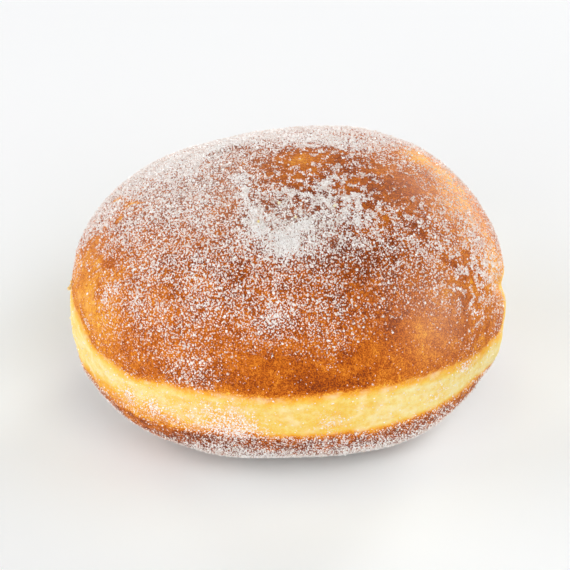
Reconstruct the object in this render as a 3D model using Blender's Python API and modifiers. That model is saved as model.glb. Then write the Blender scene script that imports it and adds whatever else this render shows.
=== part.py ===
"""A filled doughnut: one uncut ball of fried dough with a pale belt round its middle.

Metres, +Z up.  The origin is under the middle of the doughnut, on the surface that it
rests on.  -Y is the front, and +X is to the right of someone who looks at the front.
"""

import math

import bmesh
import bpy
from mathutils import Euler, Vector

# Driving dimensions: the finished doughnut's overall size, in metres.
WIDTH = 0.0900
DEPTH = 0.0860
HEIGHT = 0.0510

# The widest level stands on the underside, whose tip is cut flat to rest on.
UNDERSIDE_SHARE = 0.424
REST_CUT = 0.0009

# Roundness of each outline: 2 is an ellipse, and more is squarer.
PLAN_ROUNDNESS = 2.1
CROWN_ROUNDNESS = 2.3
UNDERSIDE_ROUNDNESS = 2.9

# The top of the crown sits off centre, towards the right and a little to the front.
CROWN_LEAN = Vector((0.0018, -0.0010))

# The pale belt is a shallow waist just below the widest level.
BELT_WIDTH = 0.0095
BELT_MIDDLE = -0.0027
BELT_DEPTH = 0.0007

# Lobes that make the plan outline uneven: waves in one turn, share of the radius, and
# where the first lobe points, in degrees.
PLAN_LOBES = ((2, 0.021, 27.0), (3, 0.008, 63.0), (5, 0.0015, 80.0))

# Broad swells and hollows of the crust: turn round Z, tilt from the top and spread, in
# degrees, then the height in metres, below zero for a hollow.
CRUST_SWELLS = (
    (24.0, 73.0, 22.0, -0.0008),
    (56.0, 61.0, 20.0, 0.0006),
    (115.0, 60.0, 20.0, -0.0009),
    (163.0, 76.0, 24.0, 0.0006),
    (222.0, 125.0, 25.0, 0.0007),
    (336.0, 112.0, 22.0, -0.0005),
    (80.0, 122.0, 24.0, 0.0005),
)

# The cage: squares along each side of the cube that it starts from, and how strongly its
# rows gather at the belt.
CAGE_SQUARES = 13
BELT_GATHER = 1.25
SUBDIVISIONS = 1

COLLECTION_NAME = "filled_doughnut"
NODE_NAME = "doughnut"
CRUST_COLOUR = (0.58, 0.21, 0.05, 1.0)
CRUST_ROUGHNESS = 0.62
CRUST_METALLIC = 0.0


def clear_scene():
    """Remove the objects that a new file starts with."""
    for obj in list(bpy.data.objects):
        bpy.data.objects.remove(obj, do_unlink=True)


def make_collection():
    """Return the collection that holds the doughnut."""
    collection = bpy.data.collections.new(COLLECTION_NAME)
    bpy.context.scene.collection.children.link(collection)
    return collection


def crust_material():
    """Return the plain finish of fried dough."""
    material = bpy.data.materials.new("crust")
    material.use_nodes = True
    shader = material.node_tree.nodes["Principled BSDF"]
    shader.inputs["Base Color"].default_value = CRUST_COLOUR
    shader.inputs["Roughness"].default_value = CRUST_ROUGHNESS
    shader.inputs["Metallic"].default_value = CRUST_METALLIC
    return material


def plan_radius(turn):
    """Radius of the widest level at an angle round Z, in metres."""
    across = abs(math.cos(turn)) / (WIDTH / 2)
    along = abs(math.sin(turn)) / (DEPTH / 2)
    radius = (across**PLAN_ROUNDNESS + along**PLAN_ROUNDNESS) ** (-1 / PLAN_ROUNDNESS)
    lobes = sum(
        share * math.cos(waves * (turn - math.radians(pointing)))
        for waves, share, pointing in PLAN_LOBES
    )
    return radius * (1 + lobes)


def belt_waist(level):
    """How far the belt sits inside the crusts at a height above the widest level."""
    offset = (level - BELT_MIDDLE) / (BELT_WIDTH / 2)
    return BELT_DEPTH * math.exp(-(offset**4))


def crust_swell(direction):
    """Height of the swells and hollows together, in one direction from the middle."""
    height = 0.0
    for turn, tilt, spread, peak in CRUST_SWELLS:
        centre = Vector((math.sin(math.radians(tilt)), 0.0, math.cos(math.radians(tilt))))
        centre.rotate(Euler((0.0, 0.0, math.radians(turn))))
        height += peak * math.exp(-((centre.angle(direction) / math.radians(spread)) ** 2))
    return height


def surface_point(direction):
    """Place one point of the cage, given its direction from the middle of the dough."""
    turn = math.atan2(direction.y, direction.x)
    flat = math.hypot(direction.x, direction.y)
    underside_height = HEIGHT * UNDERSIDE_SHARE + REST_CUT
    crown_height = HEIGHT * (1 - UNDERSIDE_SHARE)
    above = direction.z >= 0
    rise = crown_height if above else underside_height
    roundness = CROWN_ROUNDNESS if above else UNDERSIDE_ROUNDNESS
    reach = (
        (flat / plan_radius(turn)) ** roundness + (abs(direction.z) / rise) ** roundness
    ) ** (-1 / roundness)
    level = reach * direction.z
    radius = reach * flat
    radius -= belt_waist(level) * min(1.0, radius / (WIDTH / 4))
    swell = 1 + crust_swell(direction) / reach
    lean = CROWN_LEAN * max(0.0, level / crown_height) ** 2
    x = radius * swell * math.cos(turn) + lean.x
    y = radius * swell * math.sin(turn) + lean.y
    z = level * swell + underside_height - REST_CUT
    return Vector((x, y, max(z, 0.0)))


def gather_at_belt(position):
    """Turn a point of the cube into a direction, with the rows closer at the belt."""
    direction = position.normalized()
    direction.z = math.copysign(abs(direction.z) ** BELT_GATHER, direction.z)
    return direction.normalized()


def make_cage():
    """Return a mesh whose points lie on the doughnut, made from a divided cube."""
    cage = bmesh.new()
    bmesh.ops.create_cube(cage, size=2.0)
    bmesh.ops.subdivide_edges(
        cage, edges=cage.edges[:], cuts=CAGE_SQUARES - 1, use_grid_fill=True
    )
    for vertex in cage.verts:
        vertex.co = surface_point(gather_at_belt(vertex.co))
    bmesh.ops.recalc_face_normals(cage, faces=cage.faces[:])
    mesh = bpy.data.meshes.new(NODE_NAME)
    cage.to_mesh(mesh)
    cage.free()
    return mesh


def smooth_corners(obj):
    """Return the lowest and highest corners of an object as its modifiers leave it."""
    finished = obj.evaluated_get(bpy.context.evaluated_depsgraph_get()).to_mesh()
    columns = list(zip(*(vertex.co for vertex in finished.vertices)))
    low = Vector([min(column) for column in columns])
    high = Vector([max(column) for column in columns])
    return low, high


def fit_to_size(obj):
    """Bring the smoothed doughnut to its overall size, centred over the origin."""
    low, high = smooth_corners(obj)
    middle = (low + high) / 2
    size = high - low
    for vertex in obj.data.vertices:
        vertex.co.x = (vertex.co.x - middle.x) * WIDTH / size.x
        vertex.co.y = (vertex.co.y - middle.y) * DEPTH / size.y
        vertex.co.z = (vertex.co.z - low.z) * HEIGHT / size.z


def make_doughnut(collection):
    """Build the doughnut: a cage that Subdivision Surface rounds off."""
    mesh = make_cage()
    mesh.materials.append(crust_material())
    mesh.shade_smooth()
    obj = bpy.data.objects.new(NODE_NAME, mesh)
    collection.objects.link(obj)
    rounding = obj.modifiers.new("rounding", "SUBSURF")
    rounding.levels = SUBDIVISIONS
    rounding.render_levels = SUBDIVISIONS
    fit_to_size(obj)
    return obj


def main():
    """Build the whole model."""
    clear_scene()
    make_doughnut(make_collection())


main()
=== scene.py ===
"""Looks of a sugared filled doughnut: its dough, its coat of sugar, and a plain studio.

Metres, +Z up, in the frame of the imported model: the doughnut stands on z = 0, -Y is its
front, and +X is to the right of someone who looks at the front.  Places on the dough are
written in millimetres, as (right, back, up) from the middle of the underside.
"""

import logging
import math
from dataclasses import dataclass, field
from enum import Enum
from typing import Any, ClassVar

import bmesh
import bpy
import numpy as np
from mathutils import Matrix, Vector, noise
from mathutils.bvhtree import BVHTree


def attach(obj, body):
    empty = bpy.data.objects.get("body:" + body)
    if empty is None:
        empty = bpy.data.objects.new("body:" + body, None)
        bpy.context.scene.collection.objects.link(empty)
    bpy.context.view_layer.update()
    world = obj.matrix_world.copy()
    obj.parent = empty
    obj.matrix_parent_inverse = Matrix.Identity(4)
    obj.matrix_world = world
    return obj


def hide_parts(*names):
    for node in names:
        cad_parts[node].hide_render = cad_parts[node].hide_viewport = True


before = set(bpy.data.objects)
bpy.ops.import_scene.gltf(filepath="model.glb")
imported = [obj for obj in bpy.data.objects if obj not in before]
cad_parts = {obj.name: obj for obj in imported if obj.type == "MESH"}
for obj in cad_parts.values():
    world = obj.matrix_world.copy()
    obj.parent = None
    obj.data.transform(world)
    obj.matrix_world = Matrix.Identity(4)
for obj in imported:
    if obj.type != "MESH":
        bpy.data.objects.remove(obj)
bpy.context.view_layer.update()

CAD_NODE = "doughnut"
BODY = "root"
MM = 0.001
BAKE_MAP = "OFBake"
LOG = logging.getLogger("doughnut")

Colour = tuple[float, float, float]
Place = tuple[float, float, float]
Sockets = tuple[tuple[str, str], ...]
EVEN: Place = (1.0, 1.0, 1.0)


def linear(red: int, green: int, blue: int) -> Colour:
    """Turn a colour on the usual 0 to 255 scale into a shader's linear values.

    Args:
        red: Red, 0 to 255.
        green: Green, 0 to 255.
        blue: Blue, 0 to 255.

    Returns:
        The same colour with linear channels from 0 to 1.
    """
    shares = (value / 255 for value in (red, green, blue))
    return tuple(s / 12.92 if s <= 0.04045 else ((s + 0.055) / 1.055) ** 2.4 for s in shares)


def with_alpha(colour: Any) -> Any:
    """Give a plain colour the alpha that a colour socket wants; pass an output through."""
    return (*colour, 1.0) if isinstance(colour, tuple) and len(colour) == 3 else colour


def smooth_step(values: np.ndarray, low: float | np.ndarray, high: float | np.ndarray) -> np.ndarray:
    """Rise smoothly from 0 to 1 as values go from low to high.

    Args:
        values: The values to judge.
        low: Where the step starts.
        high: Where the step ends; below low for a falling step.

    Returns:
        One share from 0 to 1 for each value.
    """
    share = np.clip((values - low) / (high - low), 0.0, 1.0)
    return share * share * (3.0 - 2.0 * share)


def ripple(places: np.ndarray, wavelength: float, start: float) -> np.ndarray:
    """Smooth random waves in space.

    Args:
        places: Points in millimetres, one a row.
        wavelength: Rough size of a wave in millimetres.
        start: Shift that gives each use its own waves.

    Returns:
        One height for each point, about -1 to 1.
    """
    scaled = places / wavelength + start
    return np.array([noise.noise(point) for point in scaled.tolist()])


def stand(name: str, data: bpy.types.ID) -> bpy.types.Object:
    """Put an object with this data into the scene, at the origin.

    Args:
        name: Its name.
        data: Its mesh, light or camera.

    Returns:
        The new object.
    """
    made = bpy.data.objects.new(name, data)
    bpy.context.scene.collection.objects.link(made)
    return made


@dataclass(frozen=True)
class Patch:
    """A soft-edged place on the dough where something is stronger or weaker.

    Attributes:
        at: Its middle.
        reach: How far it spreads, in millimetres.
        amount: What it adds at its middle, or takes away when below zero.
        stretch: How much longer it is along right, back and up.
    """

    at: Place
    reach: float
    amount: float
    stretch: Place = EVEN

    def over(self, places: np.ndarray) -> np.ndarray:
        """What this patch adds at each of the places."""
        away = (places - np.array(self.at)) / (self.reach * np.array(self.stretch))
        return self.amount * np.exp(-np.sum(away**2, axis=1))


@dataclass(frozen=True)
class Waves:
    """Smooth random waves over the dough.

    Attributes:
        height: How strong they are.
        length: Rough size of a wave, in millimetres.
        start: Shift that gives them a pattern of their own.
        squeeze: How much shorter they are along right, back and up; below 1 draws them out.
    """

    height: float
    length: float
    start: float
    squeeze: Place = EVEN

    def over(self, places: np.ndarray) -> np.ndarray:
        """What the waves add at each of the places."""
        return self.height * ripple(places * self.squeeze, self.length, self.start)


@dataclass(frozen=True)
class Fade:
    """Something that comes in gradually.

    Attributes:
        amount: How much of it there is in the end.
        low: Where it starts.
        high: Where it is all there; below low when it comes in downwards.
    """

    amount: float
    low: float
    high: float

    def over(self, values: np.ndarray, earlier: float | np.ndarray = 0.0) -> np.ndarray:
        """What there is of it at each value, when it starts this much earlier."""
        return self.amount * smooth_step(values, self.low - earlier, self.high)


def gathered(parts: tuple[Patch | Waves, ...], places: np.ndarray) -> np.ndarray:
    """Add up what several patches or waves do at each of the places."""
    return sum((part.over(places) for part in parts), np.zeros(len(places)))


@dataclass(frozen=True)
class Seam:
    """A thin line on the crust: a crack, a crease or a ridge.

    Attributes:
        path: The points that it runs through.
        width: How wide it is, in millimetres.
        height: How far it stands out of the crust, in millimetres; below zero for a groove.
        tone: What it adds to the browning.
        cover: What it adds to the sugar's cover.
        ragged: How far it strays from its path, in millimetres.
    """

    STRAY_LENGTH: ClassVar[float] = 2.2
    STRAY_STARTS: ClassVar[tuple[float, ...]] = (31.0, 37.0)

    path: tuple[Place, ...]
    width: float
    height: float
    tone: float
    cover: float
    ragged: float = 0.5

    def near(self, places: np.ndarray, wider: float = 1.0) -> np.ndarray:
        """How near each place is to the line.

        Args:
            places: Points in millimetres.
            wider: Makes the line this many times wider.

        Returns:
            1 on the line, falling to 0 beside it.
        """
        sideways = [ripple(places, self.STRAY_LENGTH, start) for start in self.STRAY_STARTS]
        strayed = places + self.ragged * np.stack([*sideways, np.zeros(len(places))], axis=1)
        nearest = np.full(len(places), np.inf)
        for start, end in zip(np.array(self.path[:-1]), np.array(self.path[1:])):
            along = end - start
            share = np.clip((strayed - start) @ along / (along @ along), 0.0, 1.0)
            away = np.linalg.norm(strayed - start - share[:, None] * along, axis=1)
            nearest = np.minimum(nearest, away)
        return np.exp(-((nearest / (0.5 * wider * self.width)) ** 2))


@dataclass(frozen=True)
class Sway:
    """A stretch of the belt's edge that runs higher or lower than the rest.

    Attributes:
        turn: Where it is, in degrees round Z from +X.
        spread: How far it reaches to each side, in degrees.
        rise: How much higher the edge runs there, in millimetres.
    """

    turn: float
    spread: float
    rise: float

    def over(self, turns: np.ndarray) -> np.ndarray:
        """What the sway adds to the edge's height at each turn, given in degrees."""
        away = (turns - self.turn + 180.0) % 360.0 - 180.0
        return self.rise * np.exp(-((away / self.spread) ** 2))


# ---------------------------------------------------------------------------------------
# Node trees


class NodeGraph:
    """A node tree under construction: adds nodes, fills their inputs and wires them."""

    def __init__(self, tree: bpy.types.NodeTree) -> None:
        """Start with an empty tree."""
        self.tree = tree
        tree.nodes.clear()

    def add(self, kind: str, inputs: dict[Any, Any] | None = None, **settings: Any) -> bpy.types.Node:
        """Add a node.

        Args:
            kind: Blender's type name of the node.
            inputs: Socket name or number to a value, or to the output that feeds it.
            settings: Properties of the node itself, set before its inputs.

        Returns:
            The new node.
        """
        node = self.tree.nodes.new(kind)
        for name, value in settings.items():
            setattr(node, name, value)
        for key, value in (inputs or {}).items():
            if isinstance(value, bpy.types.NodeSocket):
                self.tree.links.new(value, node.inputs[key])
            else:
                node.inputs[key].default_value = value
        return node

    def math(self, operation: str, *values: Any, clamp: bool = False) -> bpy.types.NodeSocket:
        """Add a Math node.

        Args:
            operation: Blender's name of the operation.
            values: Its operands, each a number or an output.
            clamp: Keep the result from 0 to 1.

        Returns:
            The node's output.
        """
        operands = dict(enumerate(values))
        return self.add("ShaderNodeMath", operands, operation=operation, use_clamp=clamp).outputs[0]

    def mix(self, factor: Any, first: Any, second: Any, blend: str = "MIX") -> bpy.types.NodeSocket:
        """Add a colour Mix node.

        Args:
            factor: Share of the second colour.
            first: A colour or an output.
            second: A colour or an output.
            blend: Blender's name of the blend.

        Returns:
            The mixed colour.
        """
        inputs = {0: factor, 6: with_alpha(first), 7: with_alpha(second)}
        return self.add("ShaderNodeMix", inputs, data_type="RGBA", blend_type=blend).outputs[2]

    def rise(self, value: Any, low: Any, high: Any) -> bpy.types.NodeSocket:
        """Rise smoothly from 0 to 1 as a value goes from low to high.

        Args:
            value: The output to judge.
            low: Where the rise starts.
            high: Where the rise ends.

        Returns:
            The share from 0 to 1.
        """
        inputs = {"Value": value, "From Min": low, "From Max": high}
        return self.add("ShaderNodeMapRange", inputs, interpolation_type="SMOOTHSTEP").outputs[0]


    def scaled(self, vector: Any, factor: Any) -> bpy.types.NodeSocket:
        """Multiply a vector by a number."""
        inputs = {0: vector, "Scale": factor}
        return self.add("ShaderNodeVectorMath", inputs, operation="SCALE").outputs[0]

    def waves(self, place: Any, scale: Any, detail: Any) -> bpy.types.NodeSocket:
        """Add smooth noise, finer as its scale grows and rougher with more detail."""
        inputs = {"Vector": place, "Scale": scale, "Detail": detail}
        return self.add("ShaderNodeTexNoise", inputs).outputs[0]

    def shade(self, inputs: dict[str, Any]) -> None:
        """Make a Principled shader with these inputs the material's surface."""
        shader = self.add("ShaderNodeBsdfPrincipled", inputs)
        self.add("ShaderNodeOutputMaterial", {"Surface": shader.outputs[0]})


def new_group(name: str, kind: str, inputs: Sockets, output: tuple[str, str]) -> bpy.types.NodeTree:
    """Start a node group.

    Args:
        name: Its name.
        kind: Blender's type name of the tree.
        inputs: Name and socket type of each input.
        output: Name and socket type of its one output.

    Returns:
        The group, with its sockets and no nodes.
    """
    group = bpy.data.node_groups.new(name, kind)
    for label, socket in inputs:
        group.interface.new_socket(label, in_out="INPUT", socket_type=socket)
    group.interface.new_socket(output[0], in_out="OUTPUT", socket_type=output[1])
    return group


def new_material(name: str) -> tuple[bpy.types.Material, NodeGraph]:
    """Return a new material and its node tree, which is empty.

    Args:
        name: Its name.

    Returns:
        The material, and its nodes, of which there are none yet.
    """
    material = bpy.data.materials.new(name)
    material.use_nodes = True
    return material, NodeGraph(material.node_tree)


@dataclass(frozen=True)
class CrustRamp:
    """Shader group that turns how far dough is browned into its colour.

    Attributes:
        name: Its name.
        stops: How far the dough is browned, and its colour there.
    """

    name: str = "crust ramp"
    stops: tuple[tuple[float, Colour], ...] = (
        (0.00, linear(250, 241, 208)),
        (0.10, linear(247, 226, 152)),
        (0.20, linear(244, 204, 95)),
        (0.31, linear(244, 177, 54)),
        (0.43, linear(233, 147, 42)),
        (0.56, linear(216, 124, 34)),
        (0.70, linear(197, 101, 18)),
        (0.84, linear(172, 79, 14)),
        (1.00, linear(122, 52, 18)),
    )

    def tree(self) -> bpy.types.NodeTree:
        """Return the group, which is built on first use.

        Returns:
            The shader node group.
        """
        group = bpy.data.node_groups.get(self.name)
        if group is None:
            group = new_group(self.name, "ShaderNodeTree", (("Browning", "NodeSocketFloat"),),
                              ("Colour", "NodeSocketColor"))
            graph = NodeGraph(group)
            source = graph.add("NodeGroupInput")
            ramp = graph.add("ShaderNodeValToRGB", {"Fac": source.outputs["Browning"]})
            self._fill(ramp.color_ramp)
            graph.add("NodeGroupOutput", {"Colour": ramp.outputs["Color"]})
        return group

    def _fill(self, ramp: bpy.types.ColorRamp) -> None:
        """Give the ramp its stops.

        Args:
            ramp: A new ramp, which has two stops.
        """
        ramp.elements.remove(ramp.elements[1])
        ramp.elements[0].position = self.stops[0][0]
        ramp.elements[0].color = with_alpha(self.stops[0][1])
        for position, colour in self.stops[1:]:
            ramp.elements.new(position).color = with_alpha(colour)

    def colour(self, graph: NodeGraph, browning: Any) -> bpy.types.NodeSocket:
        """Put the group into a material.

        Args:
            graph: The material's nodes.
            browning: From 0, pale, to 1, dark brown.

        Returns:
            The colour output.
        """
        placed = graph.add("ShaderNodeGroup", {"Browning": browning}, node_tree=self.tree())
        return placed.outputs["Colour"]


@dataclass(frozen=True)
class Speckle:
    """Shader group that scatters small soft specks through space.

    Attributes:
        name: Its name.
        inputs: Name and socket type of each input.
    """

    name: str = "speckle"
    inputs: Sockets = (
        ("Vector", "NodeSocketVector"),
        ("Scale", "NodeSocketFloat"),
        ("Detail", "NodeSocketFloat"),
        ("Low", "NodeSocketFloat"),
        ("High", "NodeSocketFloat"),
    )

    def tree(self) -> bpy.types.NodeTree:
        """Return the group, which is built on first use.

        Returns:
            The shader node group.
        """
        group = bpy.data.node_groups.get(self.name)
        if group is None:
            group = new_group(self.name, "ShaderNodeTree", self.inputs, ("Mask", "NodeSocketFloat"))
            graph = NodeGraph(group)
            source = graph.add("NodeGroupInput").outputs
            waves = graph.waves(source["Vector"], source["Scale"], source["Detail"])
            mask = graph.rise(waves, source["Low"], source["High"])
            graph.add("NodeGroupOutput", {"Mask": mask})
        return group

    def mask(self, graph: NodeGraph, vector: Any, size: float, low: float, high: float,
             detail: float) -> bpy.types.NodeSocket:
        """Put the group into a material.

        Args:
            graph: The material's nodes.
            vector: Where on the piece; an output of Object coordinates.
            size: Rough size of a speck in metres.
            low: Noise level where a speck starts.
            high: Noise level where it is full.
            detail: How rough its outline is.

        Returns:
            The mask from 0 to 1.
        """
        inputs = {"Vector": vector, "Scale": 1.0 / size, "Detail": detail, "Low": low, "High": high}
        return graph.add("ShaderNodeGroup", inputs, node_tree=self.tree()).outputs["Mask"]


@dataclass(frozen=True)
class ClumpField:
    """Uneven field that sugar gathers by; the dust on the dough and the grains share it.

    Attributes:
        clump: Size of its clumps, in metres.
        grain: Size of its single grains, in metres.
        squeeze: How much shorter its pattern is along each axis; below 1 draws it out.
        waves_used: Noise levels that count as none and as full.
        cut: Levels of the mixed field that count as none and as full.
    """

    clump: float = 1.3 * MM
    grain: float = 0.31 * MM
    squeeze: Place = (1.0, 0.65, 1.0)
    waves_used: tuple[float, float] = (0.30, 0.70)
    cut: tuple[float, float] = (0.12, 0.88)

    def level(self, graph: NodeGraph, place: Any, lumps: Any) -> bpy.types.NodeSocket:
        """Add the field to a tree.

        Args:
            graph: The nodes of a material or of a Geometry Nodes tree.
            place: Where on the piece.
            lumps: How much the clumps count beside the single grains, from 0 to 1.

        Returns:
            The cover above which sugar lies at the place, from 0 to 1.
        """
        inputs = {0: place, 1: self.squeeze}
        drawn = graph.add("ShaderNodeVectorMath", inputs, operation="MULTIPLY").outputs[0]
        coarse, fine = (graph.rise(graph.waves(drawn, 1.0 / size, 1.0), *self.waves_used)
                        for size in (self.clump, self.grain))
        both = graph.math("MULTIPLY_ADD", graph.math("SUBTRACT", coarse, fine), lumps, fine)
        limits = {"Value": both, "From Min": self.cut[0], "From Max": self.cut[1]}
        return graph.add("ShaderNodeMapRange", limits).outputs[0]


# ---------------------------------------------------------------------------------------
# Finishes


def attribute(graph: NodeGraph, name: str) -> bpy.types.NodeSocket:
    """Read a number that the mesh carries."""
    return graph.add("ShaderNodeAttribute", attribute_name=name).outputs["Fac"]


def object_place(graph: NodeGraph, stretch: Place = EVEN) -> bpy.types.NodeSocket:
    """Read Object coordinates.

    Args:
        graph: The material's nodes.
        stretch: How much longer a pattern gets along each axis.

    Returns:
        The coordinates, ready for a pattern.
    """
    place = graph.add("ShaderNodeTexCoord").outputs["Object"]
    scale = tuple(1.0 / share for share in stretch)
    return graph.add("ShaderNodeMapping", {"Vector": place, "Scale": scale}).outputs[0]


@dataclass(frozen=True)
class DoughFinish:
    """Fried dough: blistered brown crusts, a soft pale belt, and sugar dust, with painted shade under the
    sugar and a painted sheen at the right front.

    Attributes:
        roughness: Of the shader.
        gloss: Its specular level.
        softness: Its subsurface weight.
        thin_dust: Colour of dust that lets the crust through.
        thick_dust: Colour of dust that hides it.
        cream: Colour of the palest crumb in the belt.
        crumb: How strongly the cream-coloured crumb shows there.
        blister: Size of the finest blisters, in metres.
        glow: How far red, green and blue light goes through the dough.
        mottle: Size in millimetres, stretch and detail of each coarser mottling, then how
            strong it is on the crusts and on the belt.
    """

    roughness: float = 0.55
    gloss: float = 0.08
    softness: float = 0.06
    thin_dust: Colour = linear(240, 221, 206)
    thick_dust: Colour = linear(252, 250, 249)
    cream: Colour = linear(252, 240, 206)
    crumb: float = 0.44
    blister: float = 0.26 * MM
    glow: Colour = (1.0, 0.45, 0.2)
    mottle: tuple[tuple[float, Place, float, float, float], ...] = (
        (0.8, EVEN, 2.0, 0.15, 0.05),
        (0.7, (1.0, 1.0, 4.0), 2.0, 0.10, 0.0),
        (1.5, (2.0, 2.0, 1.0), 3.0, 0.05, 0.035),
        (4.5, EVEN, 3.0, 0.14, 0.02),
    )

    def material(self) -> bpy.types.Material:
        """Return the material, which is built on first use.

        Returns:
            The material.
        """
        material = bpy.data.materials.get("fried dough")
        if material is not None:
            return material
        material, graph = new_material("fried dough")
        place = object_place(graph)
        # This browning carries painted shade too: it runs darker where sugar lies.
        browning = attribute(graph, "browning")
        crusted = graph.rise(browning, 0.30, 0.52)
        blisters = Speckle().mask(graph, place, self.blister, 0.34, 0.66, 1.0)
        toned = self._toned(graph, browning, crusted, blisters)
        bare = graph.mix(self._crumb(graph, crusted), toned, self.cream)
        bump = graph.add("ShaderNodeBump", {"Strength": 0.7, "Distance": 0.09 * MM, "Height": blisters})
        graph.shade({
            "Base Color": self._dusted(graph, place, bare), "Roughness": self.roughness,
            "Normal": bump.outputs[0], "Specular IOR Level": self.gloss,
            "Subsurface Weight": self.softness, "Subsurface Radius": self.glow,
            "Subsurface Scale": 1.2 * MM})
        return material

    def _toned(self, graph: NodeGraph, browning: Any, crusted: Any, blisters: Any) -> bpy.types.NodeSocket:
        """Colour of the bare dough.

        Args:
            graph: The material's nodes.
            browning: How far the dough is browned.
            crusted: 1 on crust, 0 on the belt.
            blisters: Mask of the finest blisters.

        Returns:
            The colour, mottled more on the crusts than on the belt.
        """
        masks = [(blisters, 0.32, 0.03)]
        for size, stretch, detail, on_crust, on_belt in self.mottle:
            where = object_place(graph, stretch)
            mask = Speckle().mask(graph, where, size * MM, 0.3, 0.7, detail)
            masks.append((mask, on_crust, on_belt))
        total = browning
        for mask, on_crust, on_belt in masks:
            strength = graph.math("MULTIPLY_ADD", crusted, on_crust - on_belt, on_belt)
            total = graph.math("MULTIPLY_ADD", graph.math("SUBTRACT", mask, 0.5), strength, total)
        return CrustRamp().colour(graph, total)

    def _crumb(self, graph: NodeGraph, crusted: Any) -> bpy.types.NodeSocket:
        """Share of cream-coloured crumb, which shows in soft patches on the belt only.

        Args:
            graph: The material's nodes.
            crusted: 1 on crust, 0 on the belt.

        Returns:
            The share from 0 to 1.
        """
        patches = Speckle().mask(graph, object_place(graph, (1.6, 1.6, 1.0)), 1.6 * MM, 0.42, 0.76, 4.0)
        strength = graph.math("MULTIPLY_ADD", crusted, -self.crumb, self.crumb)
        return graph.math("MULTIPLY", patches, strength)

    def _dusted(self, graph: NodeGraph, place: Any, bare: Any) -> bpy.types.NodeSocket:
        """Colour with the finest sugar laid over it, and with a painted sheen at the right front.

        Args:
            graph: The material's nodes.
            place: Object coordinates.
            bare: Colour of the bare dough.

        Returns:
            The colour where dust gathers as the grains do.
        """
        cover = attribute(graph, "cover")
        level = ClumpField().level(graph, place, attribute(graph, "lumps"))
        over = graph.math("SUBTRACT", cover, level)
        lying = graph.rise(over, 0.04, 0.20)
        thick = graph.rise(over, 0.10, 0.55)
        dust = graph.mix(thick, self.thin_dust, self.thick_dust)
        strength = graph.math("MULTIPLY_ADD", thick, 0.35, 0.58)
        # The last attribute read here lays dust colour over the crust: mostly the finest sugar, at the right
        # front a painted sheen.
        share = graph.math("MAXIMUM", graph.math("MULTIPLY", lying, strength), attribute(graph, "dust_and_sheen"))
        return graph.mix(share, bare, dust)


@dataclass(frozen=True)
class SugarFinish:
    """Sugar crystals: mostly white, some that take on the crust's colour.

    Attributes:
        roughness: Of the shader.
        gloss: Its specular level.
        white: Colour of the whitest crystals.
        clear: Colour of the least white ones.
        crust_share: How much of the crust's colour the least white ones take on.
    """

    roughness: float = 0.35
    gloss: float = 0.4
    white: Colour = linear(254, 252, 250)
    clear: Colour = linear(241, 226, 213)
    crust_share: float = 0.40

    def material(self) -> bpy.types.Material:
        """Build the material.

        Returns:
            The material.
        """
        material, graph = new_material("sugar crystals")
        # Crust colour under each crystal; its browning includes the painted shade under the sugar.
        crust = CrustRamp().colour(graph, attribute(graph, "browning"))
        tint = graph.rise(attribute(graph, "tint"), 0.1, 0.9)
        whiteness = graph.math("MULTIPLY_ADD", attribute(graph, "heap"), 0.70, 0.12)
        whiteness = graph.math("MULTIPLY_ADD", tint, 0.65, whiteness, clamp=True)
        through = graph.math("MULTIPLY_ADD", whiteness, -self.crust_share, self.crust_share)
        colour = graph.mix(through, graph.mix(whiteness, self.clear, self.white), crust)
        graph.shade({"Base Color": colour, "Roughness": self.roughness, "Specular IOR Level": self.gloss})
        return material


@dataclass(frozen=True)
class FloorFinish:
    """Plain pale matt floor, whose tint changes a little away from the doughnut: under the doughnut it is
    painted light, a little greener to cancel the pink light that the dough bounces onto it.

    Attributes:
        middle: Its colour under the doughnut, greener than the rest to cancel the bounced pink light:
            painted light.
        outside: Its colour all round.
        start: Where the middle's colour begins to fade, in metres.
        reach: Where it has faded.
        roughness: Of the shader.
        gloss: Its specular level.
    """

    middle: Colour = linear(249, 254, 254)
    outside: Colour = linear(251, 252, 253)
    start: float = 0.03
    reach: float = 0.12
    roughness: float = 0.9
    gloss: float = 0.1

    def material(self) -> bpy.types.Material:
        """Build the material.

        Returns:
            The material.
        """
        material, graph = new_material("pale floor")
        length = graph.add("ShaderNodeVectorMath", {0: object_place(graph)}, operation="LENGTH")
        away = graph.rise(length.outputs["Value"], self.start, self.reach)
        # Painted light: the greener middle cancels the pink light bounced from the dough.
        colour = graph.mix(away, self.middle, self.outside)
        graph.shade({"Base Color": colour, "Roughness": self.roughness, "Specular IOR Level": self.gloss})
        return material


# ---------------------------------------------------------------------------------------
# The dough


class Zone(Enum):
    """Where a kind of sugar lies."""

    CROWN = "crown"
    DRIFT = "drift"
    BELT = "belt"
    UNDERSIDE = "underside"


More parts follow.
